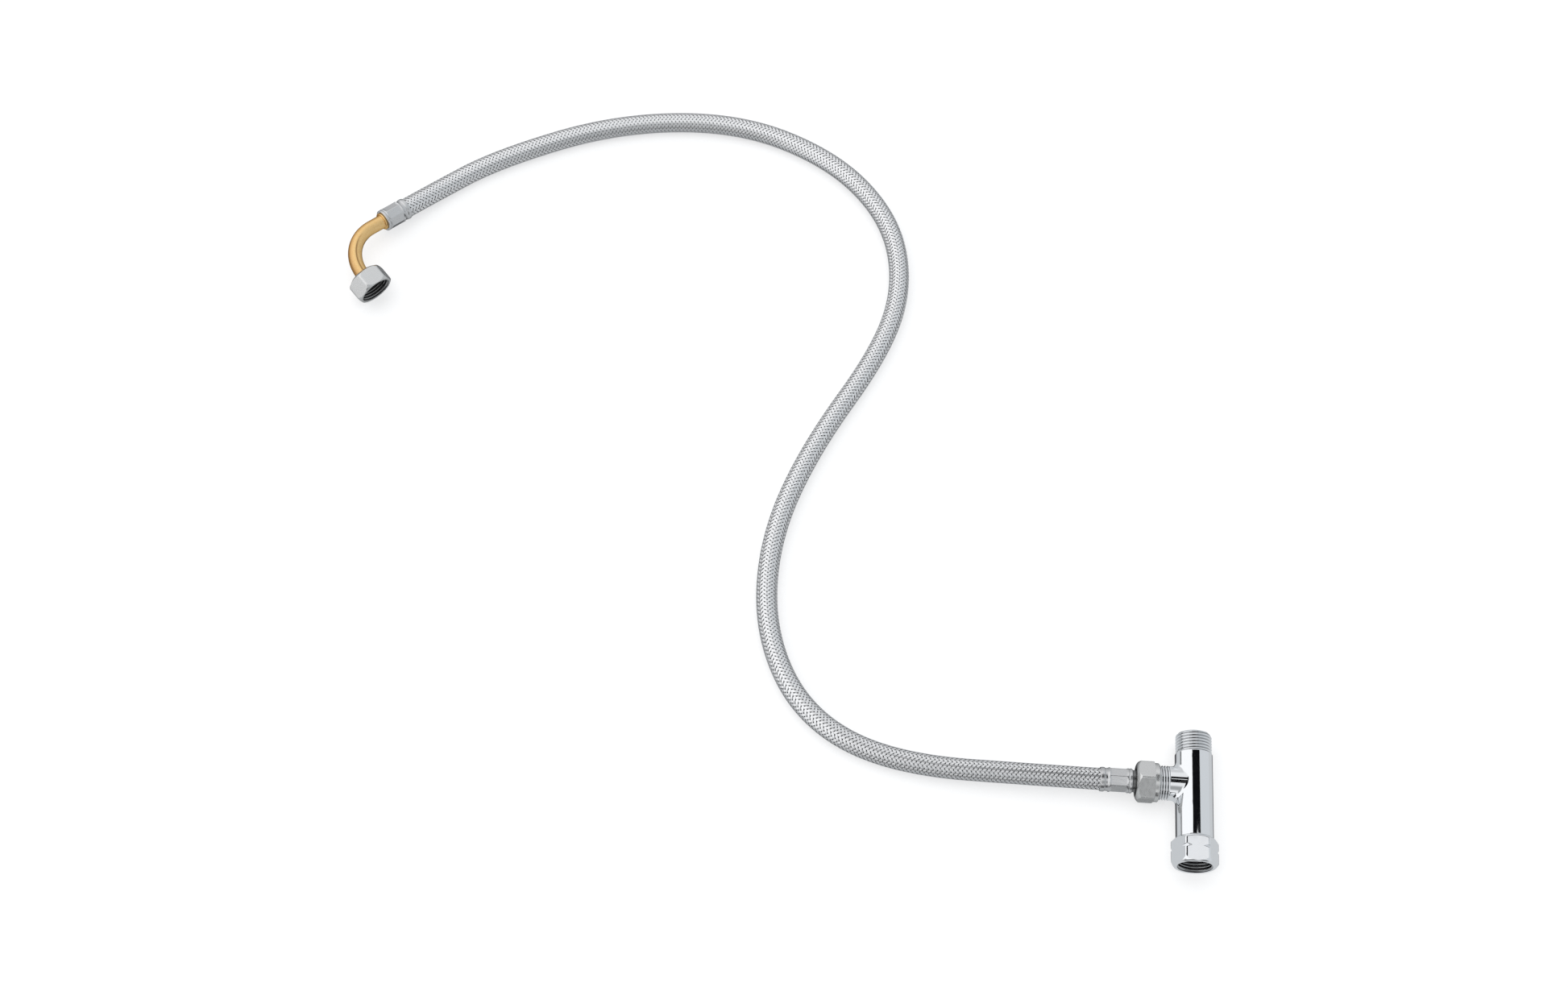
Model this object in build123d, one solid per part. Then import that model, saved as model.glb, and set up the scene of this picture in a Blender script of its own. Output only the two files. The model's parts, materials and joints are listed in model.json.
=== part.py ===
"""Braided supply line: a tee, a braided hose and a swivel elbow.

Frame: origin at the centre of the inlet nut's mouth. +Y runs up the tee's run to the
male outlet, the branch leaves the run towards -X, and +Z is up from the surface that
the whole line lies on. Millimetres.
"""
import math
import os

from build123d import *

# ---- driving dimensions, millimetres ----
FLOOR_Z = -12.61            # the hose nut rests on one corner of its hexagon

# G 1/2 pipe thread: inlet nut, outlet and elbow nut
G_PITCH = 1.814
G_MAJOR_R = 10.4775
G_MINOR_R = 9.3155
G_FLAT = 0.30               # width of crest and root flats

# M20 x 1.5 thread: the tee's branch and the hose nut
M_PITCH = 1.5
M_MAJOR_R = 10.0
M_MINOR_R = 9.08
M_FLAT = 0.22
M_RUNNING_GAP = 0.3         # radial gap between the branch thread and the hose nut

# tee body: the run lies on +Y, the branch on -X
RUN_R = 10.85
RUN_BORE_R = 7.25
RUN_START_Y = 16.15         # shoulder above the inlet nut
RUN_END_Y = 67.4            # shoulder below the outlet thread
OUTLET_Y = 80.0
OUTLET_CREST_Y = 79.0       # first crest behind the outlet's end
OUTLET_CRESTS = 7
SPIGOT_R = 8.6
SPIGOT_Y = 10.6
BRANCH_Y = 49.3
NECK_R = 9.85
NECK_END = 14.9             # distances along the branch start at the run's axis
BRANCH_END = 26.5
BRANCH_BORE_R = 5.5
BRANCH_CREST = 15.75
BRANCH_CRESTS = 7
JUNCTION_FILLET = 3.0

# inlet nut and what is in it
INLET_AF = 24.0
INLET_LENGTH = 16.0
INLET_CRESTS = 5
RING_R = 8.65
RING_WIRE_R = 0.6
RING_Y = 13.4
RING_ARC = 330
GASKET_R = 9.1
GASKET_THICK = 2.0

# hose nut, hose gasket and hose tail
HOSE_NUT_AF = 22.0
HOSE_NUT_FRONT = 20.6
HOSE_NUT_LENGTH = 14.3
HOSE_NUT_CORNER = 7.0       # degrees from +Z towards -Y
HOSE_NUT_CRESTS = (1.9, 3.4, 4.9)
TAIL_FLANGE_START = 28.3
TAIL_FLANGE_END = 30.9
TAIL_SHANK_END = 37.0

# hose
HOSE_R = 6.5
BRAID_INNER_R = 5.7
LINER_OUTER_R = 5.65
LINER_INNER_R = 4.2
BARB_R = 4.15
BARB_LENGTH = 15.0

# crimped ferrules
FERRULE_LENGTH = 18.6
FERRULE_WALL = 1.2          # end wall between the nut side and the hose's end

# elbow
PIPE_R = 4.5
PIPE_BORE_R = 3.3
BEND_R = 25.4
PIPE_START = 8.2            # depths are measured from the elbow nut's mouth
BEND_START = 13.7
PIPE_STRAIGHT = 9.8         # from the bend's end to the ferrule
ELBOW_AF = 23.0
ELBOW_NUT_LENGTH = 13.5
ELBOW_CRESTS = 4
ELBOW_AZIMUTH = 44.75       # nut axis, degrees from -Y towards +X
ELBOW_DIP = 11.8            # nut axis, degrees below level
ELBOW_CORNER = 22.5         # hexagon corner, degrees about the nut axis from up

# Centre line of the hose, from the elbow's ferrule wall to the tail's shoulder.
HOSE_Z = FLOOR_Z + HOSE_R
ROUTE = [
    (-524.1, 405.3, 0.9),
    (-497.2, 433.4, HOSE_Z),
    (-457.5, 464.0, HOSE_Z),
    (-381.0, 498.5, HOSE_Z),
    (-300.0, 505.0, HOSE_Z),
    (-235.0, 479.0, HOSE_Z),
    (-195.5, 436.5, HOSE_Z),
    (-183.0, 386.5, HOSE_Z),
    (-193.5, 334.5, HOSE_Z),
    (-236.0, 257.0, HOSE_Z),
    (-256.5, 192.5, HOSE_Z),
    (-254.5, 129.5, HOSE_Z),
    (-227.0, 78.0, HOSE_Z),
    (-174.0, 52.5, HOSE_Z),
    (-84.0, BRANCH_Y, 0.0),
    (-TAIL_SHANK_END, BRANCH_Y, 0.0),
]


# ---- frames ----
def unit(v):
    return v * (1 / v.length)


def along_run(y=0.0):
    """Local +Z along the run, from a height on it."""
    return Plane(origin=(0, y, 0), x_dir=(1, 0, 0), z_dir=(0, 1, 0))


def along_branch(distance=0.0, corner=0.0):
    """Local +Z along the branch; local +X is turned from up towards -Y by corner degrees."""
    turn = math.radians(corner)
    side = (0, -math.sin(turn), math.cos(turn))
    return Plane(origin=(-distance, BRANCH_Y, 0), x_dir=side, z_dir=(-1, 0, 0))


HOSE_START = Vector(*ROUTE[0])
HOSE_OUT = unit(Vector(*ROUTE[1]) - HOSE_START)     # the way the hose leaves the elbow
ELBOW_TURN = math.radians(ELBOW_AZIMUTH)
ELBOW_DROP = math.radians(ELBOW_DIP)
ELBOW_AXIS = Vector(
    math.sin(ELBOW_TURN) * math.cos(ELBOW_DROP),
    -math.cos(ELBOW_TURN) * math.cos(ELBOW_DROP),
    -math.sin(ELBOW_DROP),
)
ELBOW_IN = ELBOW_AXIS * -1
BEND_ANGLE = math.radians(ELBOW_IN.get_angle(HOSE_OUT))
FERRULE_LIP = HOSE_START - HOSE_OUT * FERRULE_WALL
BEND_END = FERRULE_LIP - HOSE_OUT * PIPE_STRAIGHT
BEND_BEGIN = BEND_END - (ELBOW_IN + HOSE_OUT) * (BEND_R * math.tan(BEND_ANGLE / 2))
ELBOW_MOUTH = BEND_BEGIN - ELBOW_IN * BEND_START


def along_elbow(depth=0.0):
    """Local +Z into the elbow nut from its mouth; local +X on a corner of its hexagon."""
    up = Vector(0, 0, 1)
    up = unit(up - ELBOW_AXIS * up.dot(ELBOW_AXIS))
    corner = up.rotate(Axis((0, 0, 0), tuple(ELBOW_AXIS)), ELBOW_CORNER)
    return Plane(origin=ELBOW_MOUTH + ELBOW_IN * depth, x_dir=corner, z_dir=ELBOW_IN)


def along_hose(distance=0.0):
    """Local +Z along the hose as it leaves the elbow, from the ferrule's lip."""
    up = Vector(0, 0, 1)
    side = unit(up - HOSE_OUT * up.dot(HOSE_OUT))
    return Plane(origin=FERRULE_LIP + HOSE_OUT * distance, x_dir=side, z_dir=HOSE_OUT)


# ---- basic solids ----
def lathe(points):
    """Solid of revolution about local Z from (radius, height) points."""
    outline = Polyline([(r, 0, z) for r, z in points], close=True)
    return revolve(make_face(outline), Axis.Z)


def hexagon(flats, length):
    """Hexagonal bar with a corner on local +X."""
    return extrude(RegularPolygon(radius=flats / 2, side_count=6, major_radius=False), length)


def thread_outline(crest_r, root_r, first, count, pitch, flat):
    """Points of ring-shaped teeth, from the first crest up; inside or outside by the radii."""
    flank = (pitch - 2 * flat) / 2
    points = []
    for turn in range(count):
        height = first + turn * pitch
        points += [
            (root_r, height - flat / 2 - flank),
            (crest_r, height - flat / 2),
            (crest_r, height + flat / 2),
            (root_r, height + flat / 2 + flank),
        ]
    return points


def pipe_thread_mouth(count):
    """Female G 1/2 outline from a mouth at height 0: entry cone, then the teeth."""
    first = 0.45 + G_FLAT / 2
    teeth = thread_outline(G_MINOR_R, G_MAJOR_R, first, count, G_PITCH, G_FLAT)
    return [(G_MINOR_R + 0.8, 0)] + teeth[1:]


# ---- tee ----
def tee_body():
    teeth = thread_outline(G_MAJOR_R, G_MINOR_R, OUTLET_CREST_Y - (OUTLET_CRESTS - 1) * G_PITCH,
                           OUTLET_CRESTS, G_PITCH, G_FLAT)
    run = lathe([
        (0, SPIGOT_Y), (SPIGOT_R - 0.3, SPIGOT_Y), (SPIGOT_R, SPIGOT_Y + 0.3),
        (SPIGOT_R, RUN_START_Y), (RUN_R - 0.4, RUN_START_Y), (RUN_R, RUN_START_Y + 0.4),
        (RUN_R, RUN_END_Y - 0.35), (RUN_R - 0.35, RUN_END_Y),
        (G_MINOR_R, RUN_END_Y),
        *teeth[1:],
        (G_MINOR_R - 0.3, OUTLET_Y), (0, OUTLET_Y),
    ])
    branch_teeth = thread_outline(M_MAJOR_R, M_MINOR_R, BRANCH_CREST, BRANCH_CRESTS, M_PITCH, M_FLAT)
    neck = lathe([(0, 0), (NECK_R, 0), (NECK_R, BRANCH_END), (0, BRANCH_END)])
    body = along_run() * run + along_branch() * neck
    seam = [edge for edge in body.edges()
            if abs(edge.center().Y - BRANCH_Y) < NECK_R + 1 and -RUN_R - 1 < edge.center().X < -1]
    body = fillet(seam, JUNCTION_FILLET)
    cut_back = lathe([
        (NECK_R - 0.25, NECK_END), (NECK_R + 3, NECK_END), (NECK_R + 3, BRANCH_END + 1),
        (0, BRANCH_END + 1), (0, NECK_END - 1), (NECK_R - 0.5, NECK_END - 1),
    ])
    thread = lathe([
        (0, NECK_END - 2), (M_MINOR_R, NECK_END - 2), (M_MINOR_R, BRANCH_CREST - 0.8),
        *branch_teeth[1:], (M_MINOR_R, BRANCH_END - 0.4), (M_MINOR_R - 0.4, BRANCH_END),
        (0, BRANCH_END),
    ])
    body = body - along_branch() * cut_back + along_branch() * thread
    groove = Torus(RING_R, RING_WIRE_R + 0.05)
    bore = Cylinder(RUN_BORE_R, 2 * OUTLET_Y)
    branch_bore = lathe([(0, 0), (BRANCH_BORE_R, 0), (BRANCH_BORE_R, 30), (0, 30)])
    return body - along_run(RING_Y) * groove - along_run() * bore - along_branch() * branch_bore


def inlet_nut():
    corner_r = INLET_AF / math.sqrt(3)
    envelope = lathe([
        (0, 0), (12.0, 0), (corner_r, 1.07), (corner_r, 7.35), (12.2, 9.0), (corner_r, 10.65),
        (corner_r, INLET_LENGTH - 2.3), (10.95, INLET_LENGTH), (0, INLET_LENGTH),
    ])
    inside = lathe([
        (0, -1), (10.2, -1), *pipe_thread_mouth(INLET_CRESTS), (10.5, 8.7),
        (10.5, 10.8), (SPIGOT_R + 0.3, 10.8), (SPIGOT_R + 0.3, INLET_LENGTH + 1),
        (0, INLET_LENGTH + 1),
    ])
    groove = Pos(0, 0, RING_Y) * Torus(RING_R, RING_WIRE_R + 0.3)
    nut = (hexagon(INLET_AF, INLET_LENGTH) & envelope) - inside - groove
    return along_run() * nut


def inlet_nut_ring():
    wire = Plane.XZ * Pos(RING_R, 0) * Circle(RING_WIRE_R)
    return along_run(RING_Y) * revolve(wire, Axis.Z, RING_ARC)


def washer(outer_r, inner_r, thick):
    return lathe([(inner_r, 0), (outer_r, 0), (outer_r, thick), (inner_r, thick)])


def inlet_gasket():
    return along_run(SPIGOT_Y - GASKET_THICK) * washer(GASKET_R, 6.4, GASKET_THICK)


# ---- hose end at the tee ----
def hose_nut():
    length = HOSE_NUT_LENGTH
    envelope = lathe([
        (0, 0), (10.7, 0), (11.2, 0.5), (11.2, 2.7), (12.0, 2.7), (13.0, 3.3), (13.0, 9.9),
        (12.6, 11.2), (11.6, 12.6), (10.2, 13.7), (8.6, length), (0, length),
    ])
    collar = lathe([(0, 0), (10.7, 0), (11.2, 0.5), (11.2, 3.0), (0, 3.0)])
    teeth = thread_outline(M_MINOR_R + M_RUNNING_GAP, M_MAJOR_R + M_RUNNING_GAP,
                           HOSE_NUT_CRESTS[0], len(HOSE_NUT_CRESTS), M_PITCH, M_FLAT)
    inside = lathe([
        (0, -1), (10.45, -1), (10.45, 0.4), (M_MAJOR_R + M_RUNNING_GAP, 0.6),
        *teeth, (10.4, 6.2), (10.4, 10.5), (7.9, 10.5), (7.9, length + 1), (0, length + 1),
    ])
    bar = Pos(0, 0, 2.7) * hexagon(HOSE_NUT_AF, length - 2.7)
    nut = (bar & envelope) + collar - inside
    return along_branch(HOSE_NUT_FRONT, HOSE_NUT_CORNER) * nut


def hose_gasket():
    return along_branch(BRANCH_END) * washer(9.0, 5.6, TAIL_FLANGE_START - BRANCH_END)


def hose_tail():
    barb_end = TAIL_SHANK_END + BARB_LENGTH
    tail = lathe([
        (3.0, TAIL_FLANGE_START), (9.0, TAIL_FLANGE_START), (9.0, TAIL_FLANGE_END),
        (6.4, TAIL_FLANGE_END), (6.4, TAIL_SHANK_END), (BARB_R, TAIL_SHANK_END),
        (BARB_R, barb_end - 1), (BARB_R - 0.5, barb_end), (3.0, barb_end),
    ])
    return along_branch() * tail


def ferrule(wall_hole_r):
    """Crimped sleeve, its lip at height 0: ridge, pressed body, shoulder, groove, bead."""
    bead_r = 7.1
    sleeve = lathe([
        (wall_hole_r, 0), (6.8, 0), (7.15, 0.4), (7.15, 1.5), (6.85, 1.9),
        (7.2, 2.2), (7.2, 13.0), (7.0, 13.4), (6.6, 14.4), (6.6, 15.8),
        (bead_r, 16.1), (bead_r, 18.1), (6.8, FERRULE_LENGTH),
        (HOSE_R + 0.05, FERRULE_LENGTH), (HOSE_R + 0.05, FERRULE_WALL),
        (wall_hole_r, FERRULE_WALL),
    ])
    flats = 8
    press = Pos(0, 0, 2.9) * extrude(RegularPolygon(7.0, flats, major_radius=False), 9.4)
    ring = Pos(0, 0, 2.9) * lathe([(0, 0), (8, 0), (8, 9.4), (0, 9.4)])
    return sleeve - (ring - press)


def tee_end_ferrule():
    start = TAIL_SHANK_END - FERRULE_WALL
    return along_branch(start) * ferrule(6.45)


# ---- hose ----
def route_radii():
    """Radius at each corner: 0.45 of the shorter run over the tangent of half the turn."""
    radii = []
    for before, here, after in zip(ROUTE, ROUTE[1:], ROUTE[2:]):
        run_in = Vector(*here) - Vector(*before)
        run_out = Vector(*after) - Vector(*here)
        half_turn = math.radians(run_in.get_angle(run_out)) / 2
        radii.append(0.45 * min(run_in.length, run_out.length) / math.tan(half_turn))
    return radii


def hose_tube(outer_r, inner_r):
    path = FilletPolyline(*ROUTE, radius=route_radii())
    start = Plane(origin=path @ 0, z_dir=path % 0)
    tube = sweep(start * (Circle(outer_r) - Circle(inner_r)), path)
    expected = math.pi * (outer_r ** 2 - inner_r ** 2) * path.length
    print(f"hose tube r {outer_r}: length {path.length:.1f}, volume / expected {tube.volume / expected:.4f}")
    return tube


def hose_braid():
    return hose_tube(HOSE_R, BRAID_INNER_R)


def hose_liner():
    return hose_tube(LINER_OUTER_R, LINER_INNER_R)


# ---- elbow ----
def elbow_end_ferrule():
    return along_hose() * ferrule(PIPE_R + 0.05)


def elbow_pipe():
    tail_end = BARB_LENGTH + FERRULE_WALL
    start = ELBOW_MOUTH + ELBOW_IN * PIPE_START
    corner = BEND_BEGIN + ELBOW_IN * (BEND_R * math.tan(BEND_ANGLE / 2))
    end = FERRULE_LIP + HOSE_OUT * FERRULE_WALL
    path = FilletPolyline(start, corner, end, radius=BEND_R)
    section = Plane(origin=start, z_dir=ELBOW_IN) * (Circle(PIPE_R) - Circle(PIPE_BORE_R))
    pipe = sweep(section, path)
    collar = lathe([(PIPE_R - 0.5, -1.3), (5.5, -1.3), (5.8, -1.0), (5.8, -0.2), (5.6, 0), (PIPE_R - 0.5, 0)])
    barb = lathe([
        (PIPE_BORE_R, FERRULE_WALL - 0.5), (BARB_R, FERRULE_WALL - 0.5), (BARB_R, tail_end - 1),
        (BARB_R - 0.4, tail_end), (PIPE_BORE_R, tail_end),
    ])
    return pipe + along_hose() * collar + along_hose() * barb


def elbow_flange():
    thick = 2.4
    flange = lathe([(PIPE_R, 0), (8.6, 0), (8.9, 0.3), (8.9, thick), (PIPE_R, thick)])
    return along_elbow(PIPE_START) * flange


def elbow_gasket():
    return along_elbow(PIPE_START - GASKET_THICK) * washer(GASKET_R, 4.6, GASKET_THICK)


def elbow_nut():
    corner_r = ELBOW_AF / math.sqrt(3)
    length = ELBOW_NUT_LENGTH
    envelope = lathe([
        (0, 0), (11.65, 0), (corner_r, 0.95), (corner_r, 9.6), (12.2, 11.4),
        (9.6, length - 0.3), (8.8, length), (0, length),
    ])
    inside = lathe([
        (0, -1), (10.2, -1), *pipe_thread_mouth(ELBOW_CRESTS), (9.9, 7.4),
        (9.9, 10.9), (PIPE_R + 0.35, 10.9), (PIPE_R + 0.35, length + 1), (0, length + 1),
    ])
    return along_elbow() * ((hexagon(ELBOW_AF, length) & envelope) - inside)


NODES = [
    tee_body, inlet_nut, inlet_nut_ring, inlet_gasket,
    hose_nut, hose_gasket, hose_tail, tee_end_ferrule,
    hose_braid, hose_liner,
    elbow_end_ferrule, elbow_pipe, elbow_flange, elbow_gasket, elbow_nut,
]


def main():
    os.makedirs("parts", exist_ok=True)
    print("route radii", [round(r, 1) for r in route_radii()])
    print("elbow mouth", [round(v, 3) for v in tuple(ELBOW_MOUTH)])
    print("elbow axis", [round(v, 6) for v in tuple(ELBOW_AXIS)])
    print("hose out", [round(v, 6) for v in tuple(HOSE_OUT)])
    print("bend angle", round(math.degrees(BEND_ANGLE), 2))
    for make in NODES:
        solid = make()
        solid.label = make.__name__
        export_step(solid, f"parts/{make.__name__}.step")
        low = solid.bounding_box().min.Z
        print(f"{make.__name__}: volume {solid.volume:.0f}, lowest {low:.2f}, valid {solid.is_valid}")


main()
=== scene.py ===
"""The looks of a braided supply line: tee, nuts, ferrules, woven hose and bent brass pipe.

Metres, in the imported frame: +Y up the tee's run, the branch towards -X, +Z up from the floor.
Outlines of turned pieces are given in millimetres and scaled once, by the Turned class.
"""

import json
import math

import bmesh
import bpy
import numpy as np
from mathutils import Euler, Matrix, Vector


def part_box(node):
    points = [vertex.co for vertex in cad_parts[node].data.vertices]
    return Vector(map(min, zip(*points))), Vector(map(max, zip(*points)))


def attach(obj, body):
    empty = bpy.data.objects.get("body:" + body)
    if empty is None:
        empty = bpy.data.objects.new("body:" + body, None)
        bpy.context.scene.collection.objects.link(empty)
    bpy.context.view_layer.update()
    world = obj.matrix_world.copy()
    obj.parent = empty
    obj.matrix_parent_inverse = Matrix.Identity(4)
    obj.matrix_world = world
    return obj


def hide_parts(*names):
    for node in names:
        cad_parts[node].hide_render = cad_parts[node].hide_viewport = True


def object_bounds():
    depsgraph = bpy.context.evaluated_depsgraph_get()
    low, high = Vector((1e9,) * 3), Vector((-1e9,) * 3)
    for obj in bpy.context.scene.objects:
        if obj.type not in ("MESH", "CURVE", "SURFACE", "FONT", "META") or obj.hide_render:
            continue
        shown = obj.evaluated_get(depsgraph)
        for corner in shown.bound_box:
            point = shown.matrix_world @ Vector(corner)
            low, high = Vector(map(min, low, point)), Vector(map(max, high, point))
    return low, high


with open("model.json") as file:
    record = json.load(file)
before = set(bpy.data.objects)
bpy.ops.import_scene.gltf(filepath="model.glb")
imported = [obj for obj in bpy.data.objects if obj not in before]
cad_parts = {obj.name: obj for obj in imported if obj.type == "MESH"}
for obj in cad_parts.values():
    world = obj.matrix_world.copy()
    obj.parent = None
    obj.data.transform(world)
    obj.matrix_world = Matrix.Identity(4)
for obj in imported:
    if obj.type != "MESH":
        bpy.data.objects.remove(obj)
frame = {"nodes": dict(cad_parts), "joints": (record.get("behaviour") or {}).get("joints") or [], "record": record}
CAD_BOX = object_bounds()

MM = 0.001
RECORD = frame["record"]
MOUNTS = {mount["name"]: mount for mount in RECORD["mounts"]}
JOINTS = {joint["name"]: joint for joint in frame["joints"]}
FLOOR_Z = CAD_BOX[0].z

# ---- hose route, repeated from the part's source ----
HOSE_DIAMETER = 0.013
HOSE_Z = FLOOR_Z + HOSE_DIAMETER / 2
BRANCH_Y = JOINTS["hose_nut_spin"]["pos_m"][1]
ROUTE = [
    (-0.5241, 0.4053, 0.0009),
    (-0.4972, 0.4334, HOSE_Z),
    (-0.4575, 0.4640, HOSE_Z),
    (-0.3810, 0.4985, HOSE_Z),
    (-0.3000, 0.5050, HOSE_Z),
    (-0.2350, 0.4790, HOSE_Z),
    (-0.1955, 0.4365, HOSE_Z),
    (-0.1830, 0.3865, HOSE_Z),
    (-0.1935, 0.3345, HOSE_Z),
    (-0.2360, 0.2570, HOSE_Z),
    (-0.2565, 0.1925, HOSE_Z),
    (-0.2545, 0.1295, HOSE_Z),
    (-0.2270, 0.0780, HOSE_Z),
    (-0.1740, 0.0525, HOSE_Z),
    (-0.0840, BRANCH_Y, 0.0),
    (-0.0370, BRANCH_Y, 0.0),
]


# ---- camera, light and floor ----
CAMERA_PLACE = (-0.203728, -0.439603, 1.275517)
CAMERA_TILT = math.radians(27.488)      # from straight down
CAMERA_TURN = math.radians(3.945)
CAMERA_LENS = 53.65
FLOOR_REACH = 80.0                      # far enough that no view shows the floor's edge
FAR_CLIP = 200.0


def make_camera():
    data = bpy.data.cameras.new("camera")
    data.sensor_width = 36.0
    data.lens = CAMERA_LENS
    data.clip_end = FAR_CLIP
    camera = bpy.data.objects.new("camera", data)
    camera.location = CAMERA_PLACE
    camera.rotation_euler = Euler((CAMERA_TILT, 0, CAMERA_TURN))
    bpy.context.scene.collection.objects.link(camera)
    bpy.context.scene.camera = camera


# sockets of a Mix node that mixes colours
MIX_FIRST, MIX_SECOND, MIX_RESULT = 6, 7, 2


def feed(tree, socket, value):
    """Links a socket, or sets it when the value is a number or a colour."""
    if isinstance(value, bpy.types.NodeSocket):
        tree.links.new(value, socket)
    elif isinstance(value, tuple):
        socket.default_value = (*value, 1)
    else:
        socket.default_value = value


def mix_colour(tree, factor, first, second):
    mix = tree.nodes.new("ShaderNodeMix")
    mix.data_type = "RGBA"
    feed(tree, mix.inputs["Factor"], factor)
    feed(tree, mix.inputs[MIX_FIRST], first)
    feed(tree, mix.inputs[MIX_SECOND], second)
    return mix.outputs[MIX_RESULT]


def multiply(tree, first, second):
    both = tree.nodes.new("ShaderNodeMath")
    both.operation = "MULTIPLY"
    feed(tree, both.inputs[0], first)
    feed(tree, both.inputs[1], second)
    return both.outputs[0]


def map_range(tree, source, low, high, to_low, to_high, kind="LINEAR"):
    ramp = tree.nodes.new("ShaderNodeMapRange")
    ramp.interpolation_type = kind
    ramp.inputs["From Min"].default_value = low
    ramp.inputs["From Max"].default_value = high
    ramp.inputs["To Min"].default_value = to_low
    ramp.inputs["To Max"].default_value = to_high
    feed(tree, ramp.inputs["Value"], source)
    return ramp.outputs[0]


def direction_mask(tree, direction, low, high, soft):
    """1 where a direction lies between two corners of a box of directions, fading over soft."""
    separate = tree.nodes.new("ShaderNodeSeparateXYZ")
    feed(tree, separate.inputs[0], direction)
    factor = None
    for axis in range(3):
        for edge, sign in ((low[axis], 1), (high[axis], -1)):
            if abs(edge) > 1:
                continue
            side = map_range(tree, separate.outputs[axis], edge - sign * soft, edge + sign * soft,
                             0.0, 1.0, "SMOOTHSTEP")
            factor = side if factor is None else multiply(tree, factor, side)
    return factor


ANY = 2.0                   # a bound that no direction reaches
STUDIO_GREY = (0.90, 0.91, 0.93)
STUDIO = (
    # low corner, high corner, softness, colour; each is laid over those before it
    ((0.25, -ANY, -ANY), (ANY, ANY, ANY), 0.22, (0.65, 0.68, 0.71)),
    ((-ANY, -ANY, -ANY), (-0.25, ANY, ANY), 0.20, (1.05, 1.06, 1.08)),
    ((-ANY, 0.80, -ANY), (ANY, ANY, 0.45), 0.12, (0.66, 0.67, 0.69)),
    ((-ANY, -ANY, -ANY), (ANY, ANY, -0.10), 0.10, (0.60, 0.62, 0.64)),
    ((-ANY, 0.24, -ANY), (ANY, ANY, -0.72), 0.12, (0.06, 0.06, 0.065)),
    ((-ANY, -ANY, -0.16), (-0.90, ANY, 0.02), 0.03, (0.10, 0.10, 0.105)),
    ((-ANY, -ANY, -0.35), (ANY, -0.80, 0.16), 0.06, (0.04, 0.04, 0.042)),
    ((-0.50, -ANY, 0.45), (0.50, -0.52, 0.84), 0.12, (0.36, 0.37, 0.38)),
)


def make_world():
    """A pale studio: bright to the left, greyer to the right and below, with a few dark patches."""
    world = bpy.data.worlds.new("studio")
    world.use_nodes = True
    tree = world.node_tree
    direction = tree.nodes.new("ShaderNodeTexCoord").outputs["Generated"]
    colour = STUDIO_GREY
    for low, high, soft, tint in STUDIO:
        colour = mix_colour(tree, direction_mask(tree, direction, low, high, soft), colour, tint)
    background = tree.nodes["Background"]
    feed(tree, background.inputs["Color"], colour)
    background.inputs["Strength"].default_value = 1.0
    bpy.context.scene.world = world


def stage_sheet(name, low, high, height, colour):
    """A level matt sheet of the studio, which isn't part of the product."""
    data = bpy.data.meshes.new(name)
    corners = [(low[0], low[1]), (high[0], low[1]), (high[0], high[1]), (low[0], high[1])]
    data.from_pydata([(x, y, height) for x, y in corners], [], [(0, 1, 2, 3)])
    sheet = bpy.data.objects.new(name, data)
    bpy.context.scene.collection.objects.link(sheet)
    material = new_material(name, colour, 0.0, 0.9)
    shader_of(material).inputs["Specular IOR Level"].default_value = 0.0
    data.materials.append(material)
    return sheet


CARD_HEIGHT = 0.36
CARD_BLACK = (0.004, 0.004, 0.005)
CARDS = {
    # name: low corner, high corner
    "card_over_run": ((-0.115, 0.1435), (0.188, 0.245)),
    "card_over_branch": ((-0.26, -0.023), (0.034, 0.1435)),
    "card_over_neck": ((0.034, -0.023), (0.0455, 0.119)),
}


def make_cards():
    """Black cards over the tee: they are the dark stripes down its run and along its branch."""
    for name, (low, high) in CARDS.items():
        card = stage_sheet(name, low, high, CARD_HEIGHT, CARD_BLACK)
        card.visible_camera = False
        card.visible_diffuse = False
        card.visible_shadow = False


LAMP_PLACE = (-0.3, 0.2, 2.6)
LAMP_SIZE = 3.0
LAMP_WATTS = 22.0


def make_lamp():
    """A soft lamp straight above that lights matt surfaces and isn't mirrored in the metal."""
    data = bpy.data.lights.new("fill", "AREA")
    data.shape = "DISK"
    data.size = LAMP_SIZE
    data.energy = LAMP_WATTS
    lamp = bpy.data.objects.new("fill", data)
    lamp.location = LAMP_PLACE
    lamp.visible_glossy = False
    lamp.visible_camera = False
    bpy.context.scene.collection.objects.link(lamp)


FLOOR_GREY = (0.50, 0.50, 0.50)
FLOOR_GLOW = 0.55           # keeps the shadows on the floor faint


def make_floor():
    """White to the eye; in the metal the studio's grey lower half shows in its place."""
    floor = stage_sheet("floor", (-FLOOR_REACH, -FLOOR_REACH), (FLOOR_REACH, FLOOR_REACH), FLOOR_Z,
                        FLOOR_GREY)
    floor.visible_glossy = False
    shader = shader_of(floor.data.materials[0])
    shader.inputs["Emission Color"].default_value = (1, 1, 1, 1)
    shader.inputs["Emission Strength"].default_value = FLOOR_GLOW


# ---- materials ----
MARK_LENGTH = 10.0          # millimetres along a piece to one unit of its turned attribute
NOISE_LOW, NOISE_HIGH = 0.3, 0.7        # the range that a noise's values mostly fill
# painted shade: the colour that threads and bores are darkened towards
RECESS_PAINTED_SHADE = (0.05, 0.05, 0.05)


def shader_of(material):
    return material.node_tree.nodes["Principled BSDF"]


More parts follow.
